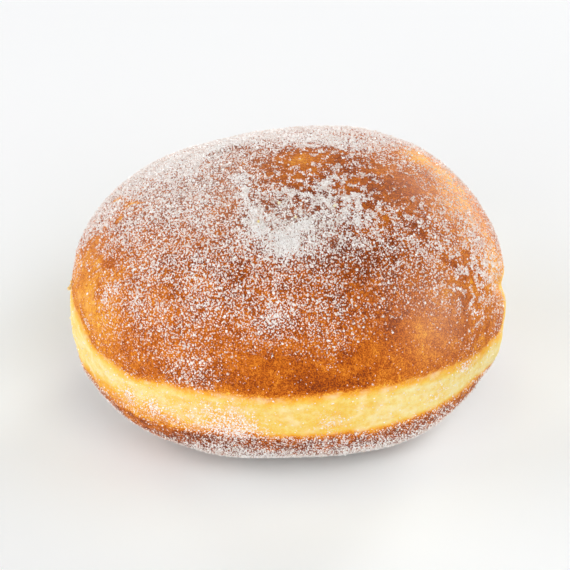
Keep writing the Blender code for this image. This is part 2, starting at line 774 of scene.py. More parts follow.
@dataclass
class Dough:
    """The doughnut's own surface: the frame's solid, refined and given its relief.

    Attributes:
        squares: Squares along each side of the cube whose skin is wrapped on the solid.
        middle_up: Height that the skin's rays leave from, in millimetres.
        relax_rounds: Smoothing passes that take away the solid's facets.
        sunk: How far the upper crust lies inside the solid to leave room for sugar.
        crown_lip: How far the upper crust bulges just above the belt, in millimetres.
        under_lip: How far the lower crust bulges just below it.
        ring_radius: Radius of the ring round which the belt's edges waver, in millimetres.
        belt_low: Height of the belt's lower edge, in millimetres.
        belt_high: Height of the belt's upper edge, in millimetres.
        low_sways: Where the lower edge rises and falls.
        high_sways: Where the upper edge rises and falls.
        low_glow: Where the gold above the lower edge is wider, in place of its height.
        high_glow: Where the gold below the upper edge is wider.
        tones_and_painted_light: Places that are browned less or more; two paler ones on the right side are
            partly painted light, making up for the weaker light there.
        covers: Places of the crown with less or more sugar.
        spills: Places of the belt with more sugar.
        bottoms: Places of the underside with less or more sugar.
        dust_and_sheen_patches: Places with a thin coat of the finest sugar; the patch at the right front is
            painted sheen instead, a pale haze in place of the gloss the lights give there.
        clumps: Places where the sugar gathers in larger clumps.
        bumps: Broad bumps and dents, in millimetres.
        seams: Cracks, creases and ridges.
        crown_ragged: How the belt's upper edge wavers.
        under_ragged: How the belt's lower edge wavers.
        crust_relief: Unevenness of the crusts, of which the belt gets less.
        fine_relief: Small unevenness everywhere.
        crumb_relief: Unevenness of the belt alone.
        belt_tones: Waves in the belt's colour.
        crust_tones: Waves in the crusts' colour.
        scorches: Waves in the colour of the underside.
        belt_tone: How far the belt is browned.
        belt_paler_and_painted_light: How it turns paler to the right and to the left; the right fade is
            partly the belt's own colour and partly painted light, paler to make up for the weaker light
            there.
        crown_gold: Gold from below the belt's upper edge upwards.
        crown_brown: Brown above that edge.
        under_gold: Gold from above the belt's lower edge downwards.
        under_brown: Brown below that edge.
        crown_cover: How much sugar lies on the crown at the belt.
        crown_thicker: How much more lies further up.
        under_cover: How much sugar lies on the underside at the belt.
        under_thicker: How much more lies further down.
        belt_cover: How much sugar lies on the belt.
        clumping: How strongly the sugar gathers in clumps where nothing else is said.
        sugar_drifts: Waves in the sugar's cover.
        sugar_clumps: Waves in it where the sugar gathers in larger clumps.
    """

    MAP_FILL: ClassVar[tuple[float, float]] = (0.485, 0.49)

    squares: int = 116
    middle_up: float = 21.6
    relax_rounds: int = 24
    sunk: float = 0.50
    crown_lip: float = 0.20
    under_lip: float = 0.12
    ring_radius: float = 45.0
    belt_low: float = 13.9
    belt_high: float = 23.6
    low_sways: tuple[Sway, ...] = (
        Sway(230.0, 14.0, -0.8),
        Sway(312.0, 16.0, 0.7),
        Sway(329.0, 9.0, 1.1),
        Sway(347.0, 14.0, -2.4),
        Sway(90.0, 30.0, 0.5),
        Sway(150.0, 20.0, -0.6),
    )
    high_sways: tuple[Sway, ...] = (
        Sway(200.0, 15.0, 1.4),
        Sway(209.0, 7.0, -1.8),
        Sway(223.0, 9.0, -1.6),
        Sway(230.0, 4.0, -0.8),
        Sway(255.0, 14.0, 0.2),
        Sway(292.0, 20.0, 0.8),
        Sway(331.0, 12.0, -2.4),
        Sway(348.0, 9.0, -5.0),
        Sway(60.0, 25.0, 1.0),
        Sway(120.0, 25.0, -0.8),
    )
    low_glow: Sway = Sway(226.0, 20.0, 4.2)
    high_glow: Sway = Sway(334.0, 26.0, 2.0)
    tones_and_painted_light: tuple[Patch, ...] = (
        Patch((3, 4.5, 51), 4.5, -0.24, (1.5, 1.0, 1.0)),
        Patch((-6, 5, 50.4), 3.0, 0.12),
        Patch((0, 9, 50.4), 3.0, 0.10),
        Patch((10, 6.5, 50.3), 3.0, 0.10),
        Patch((4, -20, 50), 13.0, 0.17),
        Patch((18, -33, 38), 9.0, 0.05),
        Patch((22.6, -34.3, 36), 3.2, 0.09, (0.7, 1.0, 1.4)),
        Patch((26.5, -33.5, 33.5), 3.5, -0.07),
        Patch((17.5, -33.6, 39.8), 3.5, -0.07),
        Patch((21.5, -4, 49), 6.0, 0.09),
        Patch((14, -29, 44), 9.0, 0.10),
        Patch((18, -6, 50), 7.0, 0.08),
        Patch((17, -15, 48.7), 6.0, -0.11),
        Patch((-13, -15, 49), 8.0, -0.07),
        Patch((36, -20, 34), 7.0, -0.06),
        Patch((26, -16, 45), 8.0, 0.06),
        Patch((20, 2, 49), 3.5, -0.10),
        # Partly painted light: paler gold on the right side, partly the crust's own colour and partly making
        # up for the weaker light there.
        Patch((35, -1, 42.5), 7.0, -0.24, (0.8, 1.8, 1.0)),
        Patch((32, 7, 44), 5.0, -0.06),
        # Partly painted light: paler here also to make up for the weaker light on the right.
        Patch((42, -6, 34), 5.0, -0.22),
        Patch((28, 14, 45), 8.0, -0.25),
        Patch((41, -12, 34), 5.0, -0.16),
        Patch((44.2, -3.2, 25.4), 3.0, -0.45, (1.0, 1.6, 1.4)),
        Patch((-33, -28, 9), 9.0, -0.10),
        Patch((33, -25, 9), 8.0, -0.10),
        Patch((-41, -15, 32), 8.0, -0.21, (0.8, 1.3, 1.2)),
        Patch((-37, -24, 29), 7.0, -0.14),
        Patch((-44, -3, 28), 6.0, -0.20),
        Patch((30, -27, 38), 8.0, -0.03),
        Patch((-24, -30, 38), 6.0, -0.06),
        Patch((2, -43, 26.5), 5.0, 0.12, (4.0, 1.0, 0.5)),
    )
    covers: tuple[Patch, ...] = (
        Patch((-26, 12, 46), 15.0, 0.31),
        Patch((0, 26, 45), 13.0, 0.30, (1.9, 1.0, 1.2)),
        Patch((8, 14, 49.5), 5.0, 0.20, (2.6, 0.8, 1.0)),
        Patch((-42, 8, 34), 8.0, 0.14, (0.8, 1.3, 1.3)),
        Patch((-40, -13, 32), 8.0, -0.21),
        Patch((-36.5, -21, 34.9), 1.3, 0.55),
        Patch((-30.5, -27, 36.7), 2.2, 0.26, (1.5, 1.0, 1.0)),
        Patch((-36.9, -21.8, 33.3), 1.0, 0.60),
        Patch((-34.4, -22.3, 36.4), 1.2, 0.55),
        Patch((-24, -14, 46), 12.0, 0.08),
        Patch((33, 7, 44), 8.0, -0.18, (1.0, 1.5, 1.0)),
        Patch((40, 0, 38), 6.0, -0.14),
        Patch((26, 15, 46), 5.5, -0.20),
        Patch((2, 3.5, 51), 7.0, -0.26, (1.3, 0.8, 1.0)),
        Patch((20, -5, 49.3), 5.0, -0.22, (1.0, 1.2, 1.0)),
        Patch((15.5, -17.5, 48.3), 4.0, 0.13, (1.3, 1.0, 1.0)),
        Patch((-11.5, -39, 35), 5.5, -0.13, (1.3, 1.0, 1.0)),
        Patch((13, -39.5, 34), 5.0, -0.05),
        Patch((-35.5, -22, 35.5), 7.0, -0.13),
        Patch((23, 0, 48.5), 5.0, -0.18),
        Patch((-2, -22, 48.5), 5.0, 0.26, (1.4, 0.9, 1.5)),
        Patch((0, -24, 47.8), 3.5, 0.18),
        Patch((1, -16, 50), 7.0, 0.08, (1.2, 1.0, 1.5)),
        Patch((0, -25, 47.5), 3.0, 0.22, (1.0, 1.2, 1.5)),
        Patch((-9, -21, 48.5), 4.5, 0.12),
        Patch((12, -19, 49), 3.5, 0.14),
        Patch((24, -35, 35), 10.0, -0.27, (1.3, 0.9, 1.0)),
        Patch((0, -42, 29), 7.5, -0.14, (2.2, 1.0, 1.0)),
        Patch((34, -26, 36), 5.0, -0.14),
        Patch((-30, -33, 32), 6.0, -0.10),
        Patch((-3.2, -37.3, 38.8), 2.2, 0.32),
        Patch((-25, -28.5, 40.5), 3.5, -0.20),
        Patch((-18, -39, 26.5), 5.0, 0.25),
        Patch((-39, -6, 37.7), 1.0, -0.60, (0.8, 1.2, 1.3)),
        Patch((14, -31, 43), 5.0, -0.12),
        Patch((44.6, -3.2, 25), 3.0, -0.40),
    )
    spills: tuple[Patch, ...] = (
        Patch((-12, -41.5, 16), 5.0, 0.42),
        Patch((-8, -41.5, 13.5), 4.0, 0.25),
        Patch((-22, -37.5, 15.5), 8.0, 0.22, (1.8, 1.5, 0.6)),
        Patch((-31.8, -31.8, 17), 1.7, 0.45),
        Patch((-27, -35.3, 16.6), 1.7, 0.40),
        Patch((8, -42, 17.5), 2.0, 0.30),
        Patch((30, -33, 18), 3.0, 0.20),
        Patch((35, -27.5, 21), 2.2, 0.40, (1.0, 1.3, 1.0)),
    )
    bottoms: tuple[Patch, ...] = (
        Patch((-28, -30, 9), 11.0, -0.32),
        Patch((27, -29, 8), 8.0, -0.02),
        Patch((34, -27, 13.5), 6.0, -0.18),
    )
    dust_and_sheen_patches: tuple[Patch, ...] = (
        # Painted sheen: a pale haze on the bare crust at the right front, in place of the soft gloss of the
        # lights; the other patches are sugar dust.
        Patch((29, -29, 34), 8.0, 0.14, (1.2, 1.0, 1.0)),
        Patch((26, -2, 47.5), 5.0, 0.03),
        Patch((-22, 13, 46.8), 12.0, 0.22, (1.3, 1.0, 1.0)),
        Patch((-18, -6, 48.5), 12.0, 0.15),
        Patch((0, -20, 49), 6.0, 0.20, (1.4, 1.0, 1.0)),
        Patch((0, 26, 45), 10.0, 0.12, (1.8, 1.0, 1.0)),
        Patch((38, -2, 40), 8.0, 0.05),
    )
    clumps: tuple[Patch, ...] = (
        Patch((2, -10, 51), 14.0, 0.36, (1.0, 1.1, 2.0)),
        Patch((20, -8, 48), 13.0, 0.36, (1.0, 1.2, 2.0)),
        Patch((36, -18, 35), 8.0, 0.45),
        Patch((-22, 13, 47), 12.0, 0.16),
        Patch((-40, -6, 35), 9.0, 0.24, (1.0, 1.6, 1.0)),
        Patch((4, 8, 51), 10.0, 0.26),
        Patch((0, 0, 6), 12.0, 0.15, (4.0, 4.0, 1.0)),
    )
    bumps: tuple[Patch, ...] = (
        Patch((42.3, -10.5, 13.8), 4.0, 0.65),
        Patch((39.5, -17, 11.8), 2.5, -0.35),
        Patch((44, 6, 31), 7.0, -0.05),
        Patch((33, 22, 41), 8.0, 0.22),
        Patch((23, -31, 6.5), 8.0, 0.68, (1.5, 1.0, 1.0)),
        Patch((-12, -35, 5.5), 8.0, 0.55, (1.3, 1.0, 1.0)),
        Patch((-32, -27, 8), 7.0, 0.15),
        Patch((-41.5, -15.5, 12.5), 5.0, 0.45),
        Patch((-44.4, -7.5, 17.5), 4.0, 0.40),
        Patch((-44, 5.5, 29.5), 5.0, 0.25),
    )
    seams: tuple[Seam, ...] = (
        Seam(((-37.5, 4.8, 39.2), (-35, 4.8, 41.3), (-33.5, 2, 42.7), (-32.8, -0.5, 43.2),
              (-31.5, -1.8, 43.9), (-30.3, -3, 44.6)), 0.9, -0.25, -0.52, -0.95, 1.1),
        Seam(((-32.8, -0.5, 43.2), (-33.8, -3.5, 42.5), (-34.8, -5.5, 41.6)), 1.1, -0.25, -0.52, -0.95, 1.1),
        Seam(((-16.5, 9.2, 48.6), (-12.5, 11.2, 49), (-9.0, 11.2, 49.4)), 1.5, -0.30, 0.12, -0.40, 0.8),
        Seam(((-20, 4, 48.4), (-17, 9, 48.6), (-13, 14.5, 48.4), (-8, 17, 48.5)), 3.4, 0.40, 0.0, 0.22, 1.5),
        Seam(((-10, -2, 50.2), (-9.3, -6.5, 50.2), (-8, -12, 50), (-7.3, -16, 49.5), (-6, -20, 49)),
             3.0, 0.15, 0.0, 0.32, 1.2),
        Seam(((9.5, -3, 51), (7, -7, 50.8), (7.5, -12, 50.3), (8, -17, 49.5), (3, -19, 49.2)),
             4.0, 0.15, 0.0, 0.24, 1.2),
        Seam(((14, -7, 50.3), (12, -11, 50), (11.5, -15.5, 49.5), (15.5, -16.5, 49)),
             2.6, 0.10, 0.0, 0.22, 1.2),
        Seam(((-9, -8, 50.2), (-5, -8, 50.5), (0, -8.5, 50.6), (3, -10.5, 50.5)), 3.0, 0.10, 0.0, 0.16, 1.2),
        Seam(((36.5, -5, 41.2), (38.3, -11, 38.5), (38.1, -16, 36.5), (38.2, -20.5, 32.4),
              (38.4, -22.5, 29)), 3.6, 0.15, 0.0, 0.22, 3.0),
        Seam(((34, -20, 38.5), (35, -24.1, 34.5), (35, -26.4, 31.3), (35, -27.8, 27.5)),
             3.0, -0.10, 0.10, -0.05, 1.6),
        Seam(((43.3, -13, 31), (44.8, -3.3, 25), (44, 7, 18.6)), 3.6, -1.00, -0.10, -0.30, 0.3),
        Seam(((42.8, -12, 22.7), (44.5, -3.6, 18.4), (43.5, 5, 12.7)), 3.6, 0.10, 0.0, 0.0, 0.3),
        Seam(((13.7, -39.3, 33.4), (14.5, -40, 31.2), (15.1, -40.5, 28.8)), 0.8, -0.08, 0.10, 0.0, 0.4),
        Seam(((18.6, -38.3, 32), (19.4, -38.7, 30), (20.1, -39, 27.3)), 0.8, -0.08, 0.09, 0.0, 0.4),
        Seam(((-42.4, -15.5, 26.0), (-41.9, -17.4, 25.4), (-41.2, -19.0, 25.0), (-40.3, -20.9, 24.7)),
             1.0, -0.40, -0.10, -0.30, 0.2),
        Seam(((-42.2, -15.7, 27.3), (-41.7, -17.4, 26.7), (-40.9, -19.2, 26.3), (-40.0, -21.1, 26.0)),
             1.2, 0.25, 0.0, 0.30, 0.2),
    )
    crown_ragged: tuple[Waves, ...] = (Waves(0.40, 15.0, 3.1), Waves(0.35, 4.0, 8.7), Waves(0.18, 1.4, 2.2))
    under_ragged: tuple[Waves, ...] = (Waves(0.40, 13.0, 5.3), Waves(0.40, 4.5, 1.9), Waves(0.18, 1.6, 7.2))
    crust_relief: tuple[Waves, ...] = (Waves(0.18, 9.0, 2.0), Waves(0.08, 3.5, 6.0))
    fine_relief: Waves = Waves(0.04, 1.5, 4.0)
    crumb_relief: Waves = Waves(0.09, 1.3, 12.0, (0.5, 0.5, 1.0))
    belt_tones: tuple[Waves, ...] = (
        Waves(0.015, 7.0, 3.0, (1.0, 1.0, 2.5)),
        Waves(0.05, 1.8, 21.0, (0.6, 0.6, 1.6)),
    )
    crust_tones: tuple[Waves, ...] = (Waves(0.05, 13.0, 9.0), Waves(0.09, 4.0, 5.0))
    scorches: Waves = Waves(0.22, 1.6, 14.0)
    belt_tone: float = 0.17
    # Partly painted light: the right fade also pales the belt to make up for the weaker light on that side.
    belt_paler_and_painted_light: tuple[Fade, ...] = (Fade(-0.08, 8.0, 34.0), Fade(-0.05, -12.0, -32.0))
    crown_gold: Fade = Fade(0.20, -1.9, 0.0)
    crown_brown: Fade = Fade(0.34, -0.5, 1.0)
    under_gold: Fade = Fade(0.26, -1.4, 0.0)
    under_brown: Fade = Fade(0.44, -0.4, 1.4)
    crown_cover: float = 0.09
    crown_thicker: Fade = Fade(0.29, -1.0, 16.0)
    under_cover: float = 0.38
    under_thicker: Fade = Fade(0.24, 1.5, 6.0)
    belt_cover: float = 0.09
    clumping: float = 0.11
    sugar_drifts: Waves = Waves(0.10, 7.0, 7.0)
    sugar_clumps: Waves = Waves(1.0, 2.3, 1.0)
    places: np.ndarray = field(init=False)
    crown_edge: np.ndarray = field(init=False)
    under_edge: np.ndarray = field(init=False)

    def build(self, finish: DoughFinish) -> bpy.types.Object:
        """Make the dough, stand it in for the solid, and dress it.

        Args:
            finish: What it is made of.

        Returns:
            The finished piece.
        """
        mesh = self._skin()
        self._wrap(mesh)
        mesh = self._relaxed(mesh)
        self._read(mesh)
        self._raise_relief(mesh)
        self._paint(mesh)
        mesh.shade_smooth()
        mesh.materials.append(finish.material())
        piece = stand("dough", mesh)
        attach(piece, BODY)
        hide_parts(CAD_NODE)
        LOG.info("dough: %d squares", len(mesh.polygons))
        return piece

    def _skin(self) -> bpy.types.Mesh:
        """Return a finely divided cube whose six sides each fill a cell of the bake map.

        Returns:
            Its mesh, about the origin.
        """
        skin = bmesh.new()
        bmesh.ops.create_cube(skin, size=2.0)
        bmesh.ops.subdivide_edges(skin, edges=skin.edges[:], cuts=self.squares - 1, use_grid_fill=True)
        sheet = skin.loops.layers.uv.new(BAKE_MAP)
        half_width, half_height = self.MAP_FILL
        for face in skin.faces:
            middle = face.calc_center_median()
            axis = max(range(3), key=lambda number: abs(middle[number]))
            side = 2 * axis + (middle[axis] > 0)
            for loop in face.loops:
                across, along = (loop.vert.co[number] for number in range(3) if number != axis)
                u = (side % 3 + 0.5 + across * half_width) / 3
                v = (side // 3 + 0.5 + along * half_height) / 2
                loop[sheet].uv = (u, v)
        mesh = bpy.data.meshes.new("dough")
        skin.to_mesh(mesh)
        skin.free()
        return mesh

    def _wrap(self, mesh: bpy.types.Mesh) -> None:
        """Send each point of the cube out to the solid's surface.

        Args:
            mesh: The divided cube, which is changed.
        """
        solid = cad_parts[CAD_NODE].data
        corners = [vertex.co for vertex in solid.vertices]
        surface = BVHTree.FromPolygons(corners, [tuple(face.vertices) for face in solid.polygons])
        middle = Vector((0.0, 0.0, self.middle_up * MM))
        for vertex in mesh.vertices:
            ray = Vector([math.tan(share * math.pi / 4) for share in vertex.co])
            vertex.co = surface.ray_cast(middle, ray)[0]

    def _relaxed(self, mesh: bpy.types.Mesh) -> bpy.types.Mesh:
        """Return the mesh with the solid's facets smoothed away.

        Args:
            mesh: The wrapped skin.

        Returns:
            A new mesh.
        """
        holder = stand("holder", mesh)
        smoothing = holder.modifiers.new("relax", "SMOOTH")
        smoothing.factor = 0.5
        smoothing.iterations = self.relax_rounds
        done = holder.evaluated_get(bpy.context.evaluated_depsgraph_get())
        result = bpy.data.meshes.new_from_object(done)
        result.name = "dough"
        bpy.data.objects.remove(holder)
        return result

    def _read(self, mesh: bpy.types.Mesh) -> None:
        """Note where each point lies, and how high the belt's edges run beside it.

        Args:
            mesh: The smoothed skin.
        """
        flat = np.empty(len(mesh.vertices) * 3)
        mesh.vertices.foreach_get("co", flat)
        self.places = flat.reshape(-1, 3) / MM
        turn = np.arctan2(self.places[:, 1], self.places[:, 0])
        ring = np.stack([np.cos(turn), np.sin(turn), np.zeros(len(turn))], axis=1) * self.ring_radius
        degrees = np.degrees(turn)
        self.crown_edge = self.belt_high + gathered(self.crown_ragged, ring) \
            + sum(sway.over(degrees) for sway in self.high_sways)
        self.under_edge = self.belt_low + gathered(self.under_ragged, ring) \
            + sum(sway.over(degrees) for sway in self.low_sways)

    def _raise_relief(self, mesh: bpy.types.Mesh) -> None:
        """Push the points out or in along their normals to make the crust's relief.

        Args:
            mesh: The smoothed skin, which is changed.
        """
        up = self.places[:, 2]
        on_crust = 1 - smooth_step(up, self.under_edge, self.under_edge + 1.5) \
            * (1 - smooth_step(up, self.crown_edge - 1.5, self.crown_edge))
        height = gathered(self.crust_relief, self.places) * (0.3 + 0.7 * on_crust)
        height += self.fine_relief.over(self.places)
        height -= self.sunk * smooth_step(up, self.crown_edge - 1.5, self.crown_edge)
        height += (1 - on_crust) * self.crumb_relief.over(self.places)
        for lip, edge in ((self.crown_lip, up - self.crown_edge), (self.under_lip, self.under_edge - up)):
            height += lip * np.exp(-(((edge - 0.8) / 0.9) ** 2))
        height += gathered(self.bumps, self.places)
        for seam in self.seams:
            height += seam.height * seam.near(self.places)
        normals = np.empty(len(mesh.vertices) * 3)
        mesh.vertex_normals.foreach_get("vector", normals)
        height *= smooth_step(up, 0.2, 2.5)
        self.places += normals.reshape(-1, 3) * height[:, None]
        mesh.vertices.foreach_set("co", (self.places * MM).ravel())
        mesh.update()

    def browning(self) -> np.ndarray:
        """How far each point of the surface is browned, from 0 to 1.

        Returns:
            One share for each point.
        """
        up = self.places[:, 2]
        above = up - self.crown_edge
        below = self.under_edge - up
        turn = np.degrees(np.arctan2(self.places[:, 1], self.places[:, 0]))
        belt = self.belt_tone + gathered(self.belt_tones, self.places)
        # Paler to the right and left; on the right partly painted light.
        for paler in self.belt_paler_and_painted_light:
            belt += paler.over(self.places[:, 0])
        crown = self.crown_gold.over(above, self.high_glow.over(turn)) + self.crown_brown.over(above)
        under = self.under_gold.over(below, self.low_glow.over(turn)) + self.under_brown.over(below)
        under += smooth_step(below, -1.0, 1.0) * self.scorches.over(self.places)
        drawn = gathered(self.tones_and_painted_light + self.crust_tones, self.places)
        for seam in self.seams:
            drawn += seam.tone * seam.near(self.places, 1.3)
        drawn *= smooth_step(above, -1.0, 2.0) + smooth_step(below, -0.5, 1.0)
        return np.clip(belt + crown + under + drawn, 0.0, 1.0)

    def cover(self, zone: Zone) -> np.ndarray:
        """How thickly sugar lies at each point of the surface, from 0 to 1.

        Args:
            zone: The part of the coat that is asked for.

        Returns:
            One share for each point.
        """
        up = self.places[:, 2]
        above = up - self.crown_edge
        uneven = self.sugar_drifts.over(self.places) \
            + (0.60 * self.lumps() - 0.04) * self.sugar_clumps.over(self.places)
        if zone is Zone.BELT:
            loose = self.belt_cover + gathered(self.spills, self.places) + 0.3 * uneven
            return np.clip(loose, 0.02, 0.8) * smooth_step(up, self.under_edge - 2.0, self.under_edge) \
                * (1 - smooth_step(above, -0.5, 0.5))
        if zone is Zone.UNDERSIDE:
            below = self.under_edge - up
            under = self.under_cover + self.under_thicker.over(below)
            under += gathered(self.bottoms, self.places) + 1.2 * uneven
            return np.clip(under, 0.08, 0.95) * smooth_step(below, -1.0, 0.4)
        crown = self.crown_cover + self.crown_thicker.over(above)
        crown += gathered(self.covers, self.places) + uneven
        for seam in self.seams:
            crown += seam.cover * seam.near(self.places, 1.2)
        crown = np.clip(crown, 0.03, 0.92) * smooth_step(above, -1.5, 0.5)
        return smooth_step(crown, 0.60, 0.95) if zone is Zone.DRIFT else crown

    def lumps(self) -> np.ndarray:
        """How strongly sugar gathers in clumps at each point of the surface, from 0 to 1."""
        return np.clip(self.clumping + gathered(self.clumps, self.places), 0.0, 0.8)

    def _paint(self, mesh: bpy.types.Mesh) -> None:
        """Store what the finish reads: how browned and how sugared each point is, with painted shade under
        the sugar and a painted sheen at the right front.

        Args:
            mesh: The finished skin.
        """
        covers = (self.cover(Zone.CROWN), self.cover(Zone.UNDERSIDE), self.cover(Zone.BELT))
        cover = np.maximum.reduce(covers)
        # Painted shade: the crust under sugar is browned further, 0.22 times the cover, so it reads darker
        # in the shade between the grains.
        write_attribute(mesh, "browning", self.browning() + 0.22 * cover)
        write_attribute(mesh, "cover", cover)
        # Mostly sugar dust, with a painted sheen at the right front.
        write_attribute(mesh, "dust_and_sheen", gathered(self.dust_and_sheen_patches, self.places))
        write_attribute(mesh, "lumps", self.lumps())


def write_attribute(mesh: bpy.types.Mesh, name: str, values: np.ndarray) -> None:
    """Store one number for each of a mesh's points.

    Args:
        mesh: What carries them.
        name: Name of the attribute; an older one is replaced.
        values: One number for each point.
    """
    if name in mesh.attributes:
        mesh.attributes.remove(mesh.attributes[name])
    mesh.attributes.new(name, "FLOAT", "POINT").data.foreach_set("value", values.astype(np.float32))


@dataclass(frozen=True)
class Crumb:
    """A small lump of dough that sticks to the doughnut.

    Attributes:
        at: Its middle.
        size: Its radius in millimetres.
        browning: How far it is browned, from 0 to 1.
        stretch: How much longer it is along right, back and up.
    """

    at: Place
    size: float
    browning: float
    stretch: Place = EVEN


@dataclass
class Crumbs:
    """The loose crumbs, all in one piece.

    Attributes:
        lumps: The crumbs.
        roughness: How knobbly they are, as a share of their size.
    """

    MARGIN: ClassVar[float] = 0.05

    lumps: tuple[Crumb, ...] = (
        Crumb((-44.9, -4.8, 25.2), 0.36, 0.22, (1.2, 1.2, 0.9)),
        Crumb((-44.5, -4.5, 25.6), 0.40, 0.26),
        Crumb((-44.4, -4.2, 26.3), 0.34, 0.24, (0.9, 1.0, 1.3)),
        Crumb((-44.5, -7.0, 19.4), 0.42, 0.04),
        Crumb((-2, -13, 50.3), 0.30, 0.0),
        Crumb((9, -14, 50.2), 0.28, 0.0),
        Crumb((1.3, -17.5, 49.7), 0.26, 0.02),
        Crumb((-6, -18.5, 49.3), 0.26, 0.10),
    )
    roughness: float = 0.35

    def build(self, finish: DoughFinish) -> None:
        """Make the crumbs and dress them.

        Args:
            finish: What they are made of.
        """
        lumps = bmesh.new()
        sheet = lumps.loops.layers.uv.new(BAKE_MAP)
        brown = lumps.verts.layers.float.new("browning")
        for number, crumb in enumerate(self.lumps):
            made = bmesh.ops.create_icosphere(lumps, subdivisions=3, radius=1.0, calc_uvs=True)["verts"]
            for face in {face for vertex in made for face in vertex.link_faces}:
                for loop in face.loops:
                    u, v = loop[sheet].uv
                    within = self.MARGIN + (1 - 2 * self.MARGIN) * u
                    loop[sheet].uv = ((number + within) / len(self.lumps), v)
            for vertex in made:
                vertex[brown] = crumb.browning
                swell = 1.0 + self.roughness * noise.noise(vertex.co * 2.2 + Vector(crumb.at))
                grown = vertex.co * (swell * crumb.size)
                vertex.co = [(at + part * share) * MM
                             for at, part, share in zip(crumb.at, grown, crumb.stretch)]
        mesh = bpy.data.meshes.new("crumbs")
        lumps.to_mesh(mesh)
        lumps.free()
        mesh.shade_smooth()
        mesh.materials.append(finish.material())
        piece = stand("crumbs", mesh)
        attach(piece, BODY)
        LOG.info("crumbs: %d", len(self.lumps))


# ---------------------------------------------------------------------------------------
# The sugar


class GrainShape(Enum):
    """Form of a sugar crystal, with its number of triangles."""

    BLOCK = 12
    CHIP = 4


